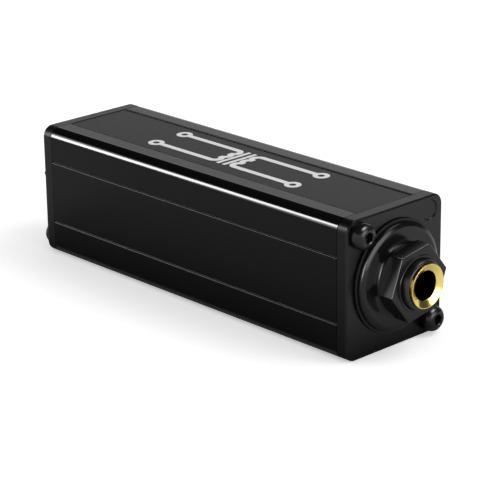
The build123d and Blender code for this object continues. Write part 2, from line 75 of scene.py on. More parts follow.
# The rest is in metres: the depth of the finest relief, and the floor.
GRAIN = 0.01 * MM
FLOOR_STEPS = 96
FLOOR_RADIUS = 6.0
FLOOR_GAP = 0.02 * MM
WHITE = (1.0, 1.0, 1.0, 1.0)
RANGE = ("From Min", "From Max", "To Min", "To Max")
ENDS = {"front": 1, "rear": -1}
NUT_TURN = {"front": 8.6, "rear": 3.0}


def cad_mm(node):
    """Lowest and highest corner of a CAD node, in millimetres."""
    low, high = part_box(node)
    return low / MM, high / MM


body_low, body_high = cad_mm("body_shell")
middle_height = body_high.z / 2
socket_height = sum(corner.z for corner in cad_mm("front_jack_ferrule")) / 2
cap_face = cad_mm("front_end_cap")[1].x


def outwards(node, side):
    """Where a socket's piece starts and ends, as distances outwards from its cap's face."""
    low, high = cad_mm(node)
    return sorted((side * low.x - cap_face, side * high.x - cap_face))


def length(name, description, millimetres):
    return FloatProperty(
        name=name,
        description=description,
        default=millimetres * MM,
        min=0.0,
        precision=5,
        subtype="DISTANCE",
        unit="LENGTH",
    )


def share(name, description, value):
    return FloatProperty(
        name=name, description=description, default=value, min=0.0, max=1.0, subtype="FACTOR"
    )


def colour(name, description, value):
    return FloatVectorProperty(
        name=name,
        description=description,
        default=value,
        min=0.0,
        max=1.0,
        size=3,
        subtype="COLOR",
    )


class IsolatorSizes(bpy.types.PropertyGroup):
    corner_radius: length("Corner radius", "Radius of the case's long corners", 2.6)
    wall: length("Wall", "Thickness of the case's walls", 2.0)
    edge_break: length("Edge break", "Small bevel on the edges of the grooves and the recess", 0.07)
    groove_rise: length("Groove rise", "From the middle of a side to each of its two grooves", 7.35)
    groove_edge: length("Groove edge", "Rounding of the grooves' edges", 0.13)
    groove_depth: length("Groove depth", "Depth of the V-grooves along the sides", 0.25)
    recess_width: length("Recess width", "Width of the recess along the top", 16.6)
    recess_depth: length("Recess depth", "Depth of the recess along the top", 0.8)
    line_depth: length("Line depth", "Depth of the fine line beside the inlaid plate", 0.13)
    channel_radius: length("Channel radius", "Outside radius of the screw channels", 2.7)
    channel_bore: length("Channel bore", "Radius of the hole in a screw channel", 1.5)
    rib_depth: length("Rib depth", "How far the ribs over the board stand out", 1.2)
    rib_thickness: length("Rib thickness", "Thickness of the ribs over the board", 1.1)
    seat_gap: length("Seat gap", "Gap between the board and what holds it", 0.1)
    cap_thickness: length("Cap thickness", "Thickness of an end cap", 3.0)
    cap_edge_round: length("Cap edge round", "Radius round the face of an end cap", 0.4)
    seam_chamfer: length("Seam chamfer", "Chamfer of the cap where it meets the case", 0.15)
    badge_radius: length("Dimple radius", "Radius of the plain dimple in each cap", 2.3)
    badge_depth: length("Dimple depth", "Depth of the plain dimple in each cap", 0.25)
    badge_inset_y: length("Dimple inset sideways", "From the cap's side to the dimple", 3.9)
    badge_inset_z: length("Dimple inset from above", "From the cap's top to the dimple", 3.2)
    screw_inset_y: length("Screw inset sideways", "From the cap's side to a screw", 3.7)
    screw_inset_z: length("Screw inset upright", "From the cap's top or bottom to a screw", 3.5)
    screw_radius: length("Screw radius", "Radius of a cap screw's shank", 1.45)
    screw_length: length("Screw length", "Length of a cap screw under its head", 12.0)
    screw_head_radius: length("Screw head radius", "Radius of a cap screw's head", 2.85)
    screw_head_height: length("Screw head height", "Height of a cap screw's head", 2.7)
    screw_head_round: length("Screw head round", "Radius of the dome's shoulder", 1.5)
    socket_flats: length("Socket flats", "Width across the flats of the screw's socket", 2.2)
    socket_depth: length("Socket depth", "Depth of the screw's socket", 1.3)
    clamp_bore: length("Clamp bore", "Radius of the holes that the bushing passes", 5.65)
    bushing_radius: length("Bushing radius", "Radius of the socket's bushing", 5.5)
    washer_radius: length("Washer radius", "Radius of the sealing washer", 12.5)
    flange_radius: length("Ring radius", "Radius of the flange ring", 12.0)
    flange_bevel_height: length("Ring bevel height", "Height of the ring's bevel", 0.5)
    flange_bevel_width: length("Ring bevel width", "Width of the ring's bevel", 1.0)
    nut_corner_radius: length("Nut corner radius", "From the nut's axis to a corner", 8.6)
    nut_flare_radius: length("Nut flare radius", "Radius of the nut's foot", 8.9)
    nut_flare_height: length("Nut flare height", "Height of the nut's foot", 0.55)
    nut_edge_round: length("Nut edge round", "Rounding of the hexagon's edges", 0.25)
    nut_mouth_chamfer: length("Nut mouth chamfer", "Chamfer of the nut's thread", 0.12)
    nut_ring_radius: length("Nut ring radius", "Radius of the low ring round the nut's hole", 6.25)
    nut_ring_rise: length("Nut ring rise", "How far that ring stands out of the nut's face", 0.18)
    rim_radius: length("Rim radius", "Outside radius of the ferrule's rim", 4.9)
    rim_round: length("Rim round", "Radius of the rim's outer edge", 0.15)
    rim_crest: length("Rim crest", "Flat crest between the rim's round and the funnel", 0.06)
    # Painted shade: the gold's base colour is darkened down the bore over this depth.
    bore_fade: length("Bore fade", "Depth over which the plating darkens down the bore", 1.2)
    rim_height: length("Rim height", "Height of the ferrule's rim", 0.7)
    sleeve_wall: length("Sleeve wall", "Thickness of the ferrule's sleeve", 0.95)
    bore_radius: length("Bore radius", "Radius of the bore that takes the plug", 3.25)


class IsolatorColours(bpy.types.PropertyGroup):
    anodised: colour("Anodised", "Black anodised aluminium", (0.0015, 0.0015, 0.0016))
    plate: colour("Plate", "Paint of the inlaid plate", (0.008, 0.008, 0.0085))
    ink: colour("Print", "Ink of the print on the plate", (0.92, 0.92, 0.92))
    oxide: colour("Screws", "Black oxide of the cap screws", (0.003, 0.003, 0.0032))
    moulding: colour("Moulding", "Nylon of the socket's housing", (0.006, 0.006, 0.0065))
    rubber: colour("Washer", "Rubber of the sealing washer", (0.004, 0.004, 0.0044))
    nut: colour("Nut and ring", "Moulding of the nut and the flange ring", (0.002, 0.002, 0.0022))
    gold: colour("Gold", "Plating of the ferrule", (0.97, 0.78, 0.25))
    satin_roughness: share("Satin roughness", "Roughness of the case's flat faces", 0.21)
    gloss_roughness: share("Gloss roughness", "Roughness of the case's long corners", 0.08)


class Millimetres:
    """Reads the sizes in millimetres."""

    def __init__(self, sizes):
        self.sizes = sizes

    def __getattr__(self, name):
        return getattr(self.sizes, name) / MM


def settings(context):
    return Millimetres(context.scene.isolator_sizes), context.scene.isolator_colours


def soften(bm, geom, offset, steps, corners=False):
    """Rounds edges, or the corners of an outline."""
    bmesh.ops.bevel(
        bm,
        geom=geom,
        offset=offset,
        offset_type="OFFSET",
        segments=steps,
        profile=0.5,
        affect="VERTICES" if corners else "EDGES",
        material=-1,
    )


def turned(points, rounds=None, steps=TURNED_STEPS):
    """Turns an outline of (outwards, radius) points round the socket's axis.

    rounds gives the radius of each corner that isn't sharp.
    """
    bm = bmesh.new()
    corners = [bm.verts.new((along, 0.0, radius)) for along, radius in points]
    bm.faces.new(corners)
    for index, radius in (rounds or {}).items():
        soften(bm, [corners[index]], radius, ROUND_STEPS, corners=True)
    bmesh.ops.delete(bm, geom=bm.faces[:], context="FACES_ONLY")
    on_axis = [edge for edge in bm.edges if all(abs(v.co.z) < LEVEL for v in edge.verts)]
    bmesh.ops.delete(bm, geom=on_axis, context="EDGES")
    bmesh.ops.spin(
        bm,
        geom=bm.verts[:] + bm.edges[:],
        cent=(0, 0, 0),
        axis=(1, 0, 0),
        dvec=(0, 0, 0),
        angle=2 * math.pi,
        steps=steps,
        use_merge=True,
    )
    bmesh.ops.remove_doubles(bm, verts=bm.verts[:], dist=WELD)
    bmesh.ops.recalc_face_normals(bm, faces=bm.faces[:])
    return bm


def cylinder(start, end, radius):
    """Outline of a plain cylinder."""
    return [(start, 0), (start, radius), (end, radius), (end, 0)]


def block(low, high):
    """A box between two corners."""
    low, high = Vector(low), Vector(high)
    bm = bmesh.new()
    bmesh.ops.create_cube(bm, size=1.0)
    bmesh.ops.scale(bm, vec=high - low, verts=bm.verts[:])
    bmesh.ops.translate(bm, vec=(low + high) / 2, verts=bm.verts[:])
    return bm


def hexagon(corner_radius, turn, start, end):
    """A six-sided bar along the socket's axis, with a corner at the angle turn from +Y."""
    bm = bmesh.new()
    bmesh.ops.create_cone(
        bm,
        cap_ends=True,
        segments=6,
        radius1=corner_radius,
        radius2=corner_radius,
        depth=end - start,
    )
    lain = Matrix.Rotation(math.radians(90), 3, "Y")
    bmesh.ops.rotate(bm, cent=(0, 0, 0), matrix=lain, verts=bm.verts[:])
    bm.verts.ensure_lookup_table()
    first = bm.verts[0].co
    spun = Matrix.Rotation(turn - math.atan2(first.z, first.y), 3, "X")
    bmesh.ops.rotate(bm, cent=(0, 0, 0), matrix=spun, verts=bm.verts[:])
    bmesh.ops.translate(bm, vec=((start + end) / 2, 0, 0), verts=bm.verts[:])
    return bm


def moved(bm, y, z):
    bmesh.ops.translate(bm, vec=(0, y, z), verts=bm.verts[:])
    return bm


def combined(bm, other, operation):
    """One closed shape cut by, joined to or trimmed by another; both are used up."""
    operands = []
    for shape in (bm, other):
        mesh = bpy.data.meshes.new("operand")
        shape.to_mesh(mesh)
        shape.free()
        operand = bpy.data.objects.new("operand", mesh)
        bpy.context.scene.collection.objects.link(operand)
        operands.append(operand)
    modifier = operands[0].modifiers.new("Combine", "BOOLEAN")
    modifier.operation = operation
    modifier.solver = "EXACT"
    modifier.object = operands[1]
    graph = bpy.context.evaluated_depsgraph_get()
    solid = bpy.data.meshes.new_from_object(operands[0].evaluated_get(graph))
    result = bmesh.new()
    result.from_mesh(solid)
    bpy.data.meshes.remove(solid)
    for operand in operands:
        mesh = operand.data
        bpy.data.objects.remove(operand)
        bpy.data.meshes.remove(mesh)
    if not result.faces:
        raise RuntimeError("combining two shapes left nothing")
    return result


def at_end(bm, side, height):
    """Moves a shape made outwards along +X to its end of the box, at a height."""
    turn = Matrix.Rotation(0 if side > 0 else math.pi, 4, "Z")
    place = Matrix.Translation((side * cap_face, 0, height)) @ turn
    bmesh.ops.transform(bm, matrix=place, verts=bm.verts[:])
    return bm


def piece(name, bm, material, node):
    """Makes a finished piece that stands for a CAD node, hides that node and gives the piece the
    material.
    """
    bmesh.ops.scale(bm, vec=(MM, MM, MM), verts=bm.verts[:])
    for face in bm.faces:
        face.smooth = True
    for edge in bm.edges:
        edge.smooth = edge.calc_face_angle(0.0) < CREASE_ANGLE
    mesh = bpy.data.meshes.new(name)
    bm.to_mesh(mesh)
    bm.free()
    made = bpy.data.objects.new(name, mesh)
    bpy.context.scene.collection.objects.link(made)
    mesh.materials.append(material)
    shading = made.modifiers.new("Flat faces stay flat", "WEIGHTED_NORMAL")
    shading.keep_sharp = True
    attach(made, "root")
    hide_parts(node)


def end_piece(end, name, bm, height, material, node):
    """Makes a piece at one end of the box from a shape made outwards along +X."""
    piece(f"{end}_{name}", at_end(bm, ENDS[end], height), material, f"{end}_{node}")


def dress(node, material):
    """Gives a CAD node a finished material."""
    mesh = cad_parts[node].data
    mesh.materials.clear()
    mesh.materials.append(material)


class Nodes:
    """Short ways to add nodes to a tree."""

    def __init__(self, tree):
        self.tree = tree

    def give(self, socket, value):
        """Links the socket to another node's output, or sets it to a plain value."""
        if isinstance(value, bpy.types.NodeSocket):
            self.tree.links.new(value, socket)
        else:
            socket.default_value = value

    def add(self, kind, **inputs):
        node = self.tree.nodes.new(kind)
        for name, value in inputs.items():
            self.give(node.inputs[name.replace("_", " ")], value)
        return node

    def sum(self, first, operation, second):
        node = self.tree.nodes.new("ShaderNodeMath")
        node.operation = operation
        for socket, value in zip(node.inputs, (first, second)):
            self.give(socket, value)
        return node.outputs[0]

    def absolute(self, value):
        return self.sum(value, "ABSOLUTE", 0.0)

    def spread(self, value, low, high, from_low=0.0, from_high=1.0):
        node = self.add("ShaderNodeMapRange", Value=value)
        for name, limit in zip(RANGE, (from_low, from_high, low, high)):
            self.give(node.inputs[name], limit)
        return node.outputs["Result"]

    def mirrored(self, path):
        """One for rays that a mirror or glass sent on, nought for all others."""
        return self.sum(path["Is Glossy Ray"], "MAXIMUM", path["Is Transmission Ray"])


class Finish(Nodes):
    """A new material with a Principled shader."""

    def __init__(self, name, **constants):
        self.material = bpy.data.materials.new(name)
        self.material.use_nodes = True
        super().__init__(self.material.node_tree)
        self.shader = self.tree.nodes["Principled BSDF"]
        for socket, value in constants.items():
            self.shader.inputs[socket.replace("_", " ")].default_value = value
        self.place = self.add("ShaderNodeTexCoord").outputs["Object"]

    def link(self, value, socket):
        self.tree.links.new(value, self.shader.inputs[socket])

    def stretched(self, scale):
        return self.add("ShaderNodeMapping", Vector=self.place, Scale=scale).outputs["Vector"]

    def apart(self):
        """The place's X, Y and Z, each by itself."""
        return self.add("ShaderNodeSeparateXYZ", Vector=self.place).outputs

    def noise(self, scale, detail=3.0, vector=None):
        place = vector or self.place
        node = self.add("ShaderNodeTexNoise", Vector=place, Scale=scale, Detail=detail)
        return node.outputs["Fac"]

    def blend(self, fac, first, second):
        node = self.tree.nodes.new("ShaderNodeMix")
        node.data_type = "RGBA"
        self.give(node.inputs[0], fac)
        for socket, tone in ((node.inputs[6], first), (node.inputs[7], second)):
            plain = not isinstance(tone, bpy.types.NodeSocket)
            self.give(socket, (*tone[:3], 1.0) if plain else tone)
        return node.outputs[2]

    def mottle(self, tone, change, scale, vector=None):
        """Base colour that varies a little over the surface."""
        darker = [channel * (1 - change) for channel in tone]
        lighter = [min(1.0, channel * (1 + change)) for channel in tone]
        self.link(self.blend(self.noise(scale, vector=vector), darker, lighter), "Base Color")

    def sheen(self, scale, low, high):
        """Roughness that varies a little over the surface."""
        self.link(self.spread(self.noise(scale), low, high), "Roughness")

    def relief(self, height, strength, distance):
        node = self.add("ShaderNodeBump", Height=height, Strength=strength, Distance=distance)
        self.link(node.outputs["Normal"], "Normal")


def reuse(builder):
    """Lets several pieces share one material."""
    made = {}

    def wrapped(*values):
        if builder.__name__ not in made:
            made[builder.__name__] = builder(*values)
        return made[builder.__name__]

    return wrapped


def anodised_grain(finish, colours):
    """Fine lines along the box, as extruding and brushing leave them; returns their roughness."""
    lines = finish.stretched((12.0, 900.0, 900.0))
    finish.mottle(colours.anodised, 0.12, 1.0, lines)
    finish.relief(finish.noise(1.0, 4.0, lines), 0.05, GRAIN)
    uneven = finish.spread(finish.noise(1.0, vector=lines), -0.03, 0.03)
    return finish.sum(uneven, "ADD", colours.satin_roughness)


@reuse
def case_anodised(sizes, colours):
    """Dyed anodising: satin on the flats, with the long corners polished to a gloss."""
    finish = Finish("case_anodised", Specular_IOR_Level=0.125, Coat_IOR=1.5, Coat_Roughness=0.1)
    satin = anodised_grain(finish, colours)
    apart = finish.apart()
    sideways = finish.absolute(apart["Y"])
    upright = finish.absolute(finish.sum(apart["Z"], "SUBTRACT", middle_height * MM))
    fade = 0.15

    def band(side_start, top_start):
        """One on the long corners beyond two distances from the box's middle, nought elsewhere."""
        past_side = finish.spread(sideways, 0.0, 1.0, side_start * MM, (side_start + fade) * MM)
        past_top = finish.spread(upright, 0.0, 1.0, top_start * MM, (top_start + fade) * MM)
        return finish.sum(past_side, "MULTIPLY", past_top)

    side_start = body_high.y - sizes.corner_radius
    top_start = middle_height - sizes.corner_radius
    polished = band(side_start, top_start)
    finish.link(finish.spread(polished, satin, colours.gloss_roughness), "Roughness")
    coat_side, coat_top = side_start + 0.1, top_start + 0.5
    finish.link(band(coat_side, coat_top), "Coat Weight")
    return finish.material


@reuse
def cap_anodised(colours):
    """The same anodising on the caps, whose outer faces have a closer, slightly brighter seal."""
    finish = Finish("cap_anodised", Specular_IOR_Level=0.18, Coat_IOR=1.5, Coat_Roughness=0.25)
    rougher = 0.12
    finish.link(finish.sum(anodised_grain(finish, colours), "ADD", rougher), "Roughness")
    place = finish.absolute(finish.apart()["X"])
    seal, seal_start, seal_end = 0.35, cap_face - 0.6, cap_face - 0.35
    finish.link(finish.spread(place, 0.0, seal, seal_start * MM, seal_end * MM), "Coat Weight")
    return finish.material


def even(name, tone, mottling, sheen, grain, height=GRAIN, **constants):
    """Returns the builder of a finish of one tone, which is a colour or a setting's name.

    mottling holds how much the tone changes and on what scale, sheen the scale and range of the
    roughness, and grain the scale, detail and strength of the fine relief.
    """

    def builder(colours=None):
        finish = Finish(name, **constants)
        finish.mottle(getattr(colours, tone) if colours else tone, *mottling)
        finish.sheen(*sheen)
        scale, detail, strength = grain
        finish.relief(finish.noise(scale, detail), strength, height)
        return finish.material

    builder.__name__ = name
    return reuse(builder)


def nonmetal(name, specular, *values):
    return even(name, *values, Specular_IOR_Level=specular)


matt_paint = nonmetal(
    "matt_paint", 0.06, "plate", (0.06, 260.0), (900.0, 0.28, 0.36), (6000.0, 2.0, 0.1)
)
screen_ink = nonmetal(
    "screen_ink", 0.3, "ink", (0.03, 1200.0), (2500.0, 0.4, 0.55), (5000.0, 3.0, 0.12)
)
black_oxide = nonmetal(
    "black_oxide", 0.4, "oxide", (0.25, 900.0), (1500.0, 0.2, 0.28), (3500.0, 3.0, 0.08)
)
moulded_nylon = nonmetal(
    "moulded_nylon", 0.6, "moulding", (0.15, 500.0), (800.0, 0.28, 0.36), (4000.0, 3.0, 0.08)
)
washer_rubber = nonmetal(
    "washer_rubber", 0.3, "rubber", (0.2, 400.0), (700.0, 0.45, 0.6), (5000.0, 3.0, 0.15)
)
satin_moulding = nonmetal(
    "satin_moulding", 0.31, "nut", (0.12, 300.0), (600.0, 0.17, 0.22), (4500.0, 2.0, 0.1)
)
IVORY, TIN, AMBER = (0.82, 0.8, 0.73), (0.78, 0.78, 0.8), (0.72, 0.42, 0.1)
ivory_nylon = nonmetal(
    "ivory_nylon", 0.45, IVORY, (0.04, 300.0), (600.0, 0.32, 0.45), (3000.0, 3.0, 0.08)
)
dipped_resin = nonmetal(
    "dipped_resin", 0.5, AMBER, (0.1, 400.0), (700.0, 0.2, 0.34), (1200.0, 3.0, 0.2), 3 * GRAIN
)
tinned_wire = even(
    "tinned_wire", TIN, (0.05, 700.0), (1200.0, 0.2, 0.36), (4000.0, 3.0, 0.1), Metallic=1.0
)


@reuse
def gold_plate(sizes, colours):
    """Polished gold over turned brass, with painted shade down the bore and a brown painted shade
    round the rim's edge.
    """
    finish = Finish("gold_plate", Metallic=1.0)
    rings = finish.stretched((9000.0, 40.0, 40.0))
    apart = finish.apart()
    outer = finish.absolute(apart["X"])
    shoulder = cap_face + outwards("front_jack_ferrule", 1)[1] - sizes.rim_height
    bright_end = (shoulder + 0.1) * MM
    # Painted shade down the bore: lit is nought deep in the bore and one at the shoulder.
    lit = finish.spread(outer, 0.0, 1.0, (shoulder - sizes.bore_fade) * MM, bright_end)
    warm = [colours.gold[0] * 0.97, colours.gold[1] * 0.93, colours.gold[2] * 0.8]
    plated = finish.blend(finish.noise(350.0), colours.gold, warm)
    across = finish.add(
        "ShaderNodeCombineXYZ",
        Y=apart["Y"],
        Z=finish.sum(apart["Z"], "SUBTRACT", socket_height * MM),
    )
    reach = finish.add("ShaderNodeVectorMath", Vector=across.outputs["Vector"])
    reach.operation = "LENGTH"
    # Painted shade round the rim's outer edge, where it meets the bushing, as a brown tone.
    edge_start, edge_end = (sizes.rim_radius - 0.16) * MM, (sizes.rim_radius - 0.04) * MM
    edge = finish.spread(reach.outputs["Value"], 0.0, 1.0, edge_start, edge_end)
    painted_bore_shade, painted_rim_shade = (0.1, 0.08, 0.06), (0.42, 0.26, 0.05)
    deep = finish.blend(lit, painted_bore_shade, plated)
    finish.link(finish.blend(edge, deep, painted_rim_shade), "Base Color")
    finish.link(finish.spread(finish.noise(1.0, vector=rings), 0.14, 0.22), "Roughness")
    finish.relief(finish.noise(1.0, 1.0, rings), 0.03, GRAIN)
    return finish.material


@reuse
def spring_bronze():
    finish = Finish("spring_bronze", Metallic=1.0)
    finish.mottle((0.78, 0.76, 0.7), 0.06, 500.0)
    finish.sheen(900.0, 0.2, 0.34)
    rolled = finish.stretched((200.0, 200.0, 3000.0))
    finish.relief(finish.noise(1.0, vector=rolled), 0.08, GRAIN)
    return finish.material


@reuse
def solder_mask():
    """Green mask with the glass weave showing through and broad copper runs under it."""
    finish = Finish("solder_mask", Specular_IOR_Level=0.5)
    weave = finish.add("ShaderNodeTexChecker", Vector=finish.place, Scale=2600.0)
    runs = finish.noise(1.0, 0.0, finish.stretched((60.0, 190.0, 1.0)))
    over_copper = finish.spread(runs, 0.0, 1.0, 0.5, 0.52)
    base = finish.blend(over_copper, (0.012, 0.12, 0.05), (0.03, 0.2, 0.08))
    finish.link(base, "Base Color")
    finish.sheen(500.0, 0.22, 0.36)
    height = finish.sum(over_copper, "ADD", finish.sum(weave.outputs["Fac"], "MULTIPLY", 0.15))
    finish.relief(height, 0.25, 3 * GRAIN)
    return finish.material


@reuse
def laminations():
    """Varnished steel sheets stacked across the core."""
    finish = Finish("laminations", Metallic=0.8)
    sheets = finish.add("ShaderNodeTexWave", Vector=finish.place, Scale=450.0, Distortion=0.3)
    sheets.bands_direction = "Y"
    gap, sheet = (0.12, 0.12, 0.125), (0.4, 0.4, 0.41)
    finish.link(finish.blend(sheets.outputs["Fac"], gap, sheet), "Base Color")
    finish.sheen(700.0, 0.35, 0.55)
    finish.relief(sheets.outputs["Fac"], 0.5, 5 * GRAIN)
    return finish.material


@reuse
def wound_copper():
    """Layers of enamelled wire: each turn is a ridge round the bobbin, with painted shade in the
    grooves between turns.
    """
    finish = Finish("wound_copper", Metallic=1.0, Coat_Weight=0.5)
    turns = finish.add("ShaderNodeTexWave", Vector=finish.place, Scale=800.0, Distortion=0.6)
    turns.bands_direction = "Z"
    # Painted shade: the groove tone is a darker copper where the turns meet.
    groove, crest = (0.32, 0.12, 0.05), (0.78, 0.36, 0.18)
    finish.link(finish.blend(turns.outputs["Fac"], groove, crest), "Base Color")
    finish.sheen(900.0, 0.22, 0.36)
    finish.relief(turns.outputs["Fac"], 0.8, 8 * GRAIN)
    return finish.material


@reuse
def barrier_tape():
    finish = Finish("barrier_tape", Specular_IOR_Level=0.5)
    finish.mottle((0.85, 0.62, 0.1), 0.08, 200.0)
    finish.sheen(500.0, 0.2, 0.3)
    creases = finish.stretched((150.0, 150.0, 900.0))
    finish.relief(finish.noise(1.0, vector=creases), 0.2, 2 * GRAIN)
    return finish.material


@reuse
def zinc_strap():
    """Zinc-plated strip with the crystal pattern of the plating."""
    finish = Finish("zinc_strap", Metallic=1.0)
    crystals = finish.add("ShaderNodeTexVoronoi", Vector=finish.place, Scale=900.0)
    pattern, dull, bright = crystals.outputs["Distance"], (0.5, 0.5, 0.52), (0.66, 0.66, 0.68)
    finish.link(finish.blend(pattern, dull, bright), "Base Color")
    finish.link(finish.spread(pattern, 0.26, 0.42), "Roughness")
    finish.relief(finish.noise(2500.0), 0.08, GRAIN)
    return finish.material


@reuse
def resistor_lacquer():
    """Pale blue lacquer with plain colour bands along the body."""
    finish = Finish("resistor_lacquer", Specular_IOR_Level=0.55)
    low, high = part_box("resistor_body")
    along = finish.spread(finish.apart()["Y"], 0.0, 1.0, low.y, high.y)
    bands = finish.add("ShaderNodeValToRGB", Fac=along)
    ramp = bands.color_ramp
    ramp.interpolation = "CONSTANT"
    lacquer, brown = (0.2, 0.42, 0.5, 1.0), (0.3, 0.1, 0.02, 1.0)
    black, red = (0.01, 0.01, 0.01, 1.0), (0.5, 0.03, 0.02, 1.0)
    ramp.elements[0].color = lacquer
    ramp.elements.remove(ramp.elements[1])
    for start, band in ((0.22, brown), (0.36, black), (0.5, red), (0.72, brown)):
        for position, tone in ((start, band), (start + 0.07, lacquer)):
            ramp.elements.new(position).color = tone
    finish.link(bands.outputs["Color"], "Base Color")
    finish.sheen(900.0, 0.15, 0.25)
    finish.relief(finish.noise(1500.0), 0.1, 2 * GRAIN)
    return finish.material


def case_outline(bm, sizes):
    """End view of the extrusion's outside, with the recess and the grooves, as loose edges."""
    x, half_width, top = body_low.x, body_high.y, body_high.z
    recess, floor = sizes.recess_width / 2, top - sizes.recess_depth
    line = sizes.line_depth
    land = 1.5 * line
    half = [
        (recess, floor, "sharp"),
        (recess, top, "broken"),
        (recess + land, top, "sharp"),
        (recess + land + line, top - line, "sharp"),
        (recess + land + 2 * line, top, "sharp"),
        (half_width, top, "long"),
    ]
    for rise in (sizes.groove_rise, -sizes.groove_rise):
        middle = middle_height + rise
        half += [
            (half_width, middle + sizes.groove_depth, "groove"),
            (half_width - sizes.groove_depth, middle, "broken"),
            (half_width, middle - sizes.groove_depth, "groove"),
        ]
    half.append((half_width, 0, "long"))
    whole = half + [(-y, z, kind) for y, z, kind in reversed(half)]
    corners = [(bm.verts.new((x, y, z)), kind) for y, z, kind in whole]
    bm.faces.new([corner for corner, kind in corners])
    for rounded, radius, steps in (
        ("long", sizes.corner_radius, CORNER_STEPS),
        ("broken", sizes.edge_break, FINE_STEPS),
        ("groove", sizes.groove_edge, EDGE_STEPS),
    ):
        geom = [corner for corner, kind in corners if kind == rounded]
        soften(bm, geom, radius, steps, corners=True)
    bmesh.ops.delete(bm, geom=bm.faces[:], context="FACES_ONLY")


def verts_among(items):
    return [item for item in items if isinstance(item, bmesh.types.BMVert)]


def cavity_outline(bm, sizes):
    """End view of the cavity, which bulges in round the screw channels and over the two ribs."""
    x = body_low.x
    radius = sizes.channel_radius
    inner_y, inner_z = body_high.y - sizes.wall, middle_height - sizes.wall
    channel_y, channel_z = body_high.y - sizes.screw_inset_y, middle_height - sizes.screw_inset_z
    below = math.acos((inner_y - channel_y) / radius)
    beside = math.asin((inner_z - channel_z) / radius)
    upright = Matrix.Rotation(math.radians(90), 4, "Y")
    ends = {}
    for hand in (-1, 1):
        for up in (-1, 1):
            centre = Vector((x, hand * channel_y, middle_height + up * channel_z))
            side_z = centre.z - up * radius * math.sin(below)
            at_side = bm.verts.new((x, hand * inner_y, side_z))
            swept = bmesh.ops.spin(
                bm,
                geom=[at_side],
                cent=centre,
                axis=(1, 0, 0),
                angle=-hand * up * (math.pi + beside - below),
                steps=CORNER_STEPS,
            )
            ends[hand, up] = at_side, verts_among(swept["geom_last"])[0]
            bmesh.ops.create_circle(
                bm,
                segments=2 * CORNER_STEPS,
                radius=sizes.channel_bore,
                matrix=Matrix.Translation(centre) @ upright,
            )
    for up in (-1, 1):
        bm.edges.new((ends[-1, up][1], ends[1, up][1]))
    rib_low = cad_mm("circuit_board")[1].z + sizes.seat_gap
    depth, thickness = sizes.rib_depth, sizes.rib_thickness
    for hand in (-1, 1):
        path = [ends[hand, -1][0]]
        for inwards, rise in ((0, 0), (depth, 0), (depth, thickness), (0, thickness)):
            path.append(bm.verts.new((x, hand * (inner_y - inwards), rib_low + rise)))
        path.append(ends[hand, 1][0])
        for pair in zip(path, path[1:]):
            bm.edges.new(pair)


class ISOLATOR_OT_case(bpy.types.Operator):
    """Build the extruded case with its grooves, recess and screw channels"""

    bl_idname = "isolator.case"
    bl_label = "Case"

    def execute(self, context):
        sizes, colours = settings(context)
        bm = bmesh.new()
        case_outline(bm, sizes)
        cavity_outline(bm, sizes)
        bmesh.ops.triangle_fill(bm, use_beauty=True, use_dissolve=False, edges=bm.edges[:])
        grown = bmesh.ops.extrude_face_region(bm, geom=bm.faces[:], use_keep_orig=True)
        front = verts_among(grown["geom"])
        bmesh.ops.translate(bm, vec=(body_high.x - body_low.x, 0, 0), verts=front)
        bmesh.ops.recalc_face_normals(bm, faces=bm.faces[:])
        piece("case", bm, case_anodised(sizes, colours), "body_shell")
        return {"FINISHED"}


class ISOLATOR_OT_plate(bpy.types.Operator):
    """Build the inlaid plate and give the print its ink"""

    bl_idname = "isolator.plate"
    bl_label = "Plate and print"

    def execute(self, context):
        sizes, colours = settings(context)
        low, high = cad_mm("top_label_plate")
        bm = block(low, high)
        middle = (low.z + high.z) / 2
        upper = [edge for edge in bm.edges if all(v.co.z > middle for v in edge.verts)]
        soften(bm, upper, sizes.edge_break, FINE_STEPS)
        piece("inlaid_plate", bm, matt_paint(colours), "top_label_plate")
        dress("label_marking", screen_ink(colours))
        return {"FINISHED"}


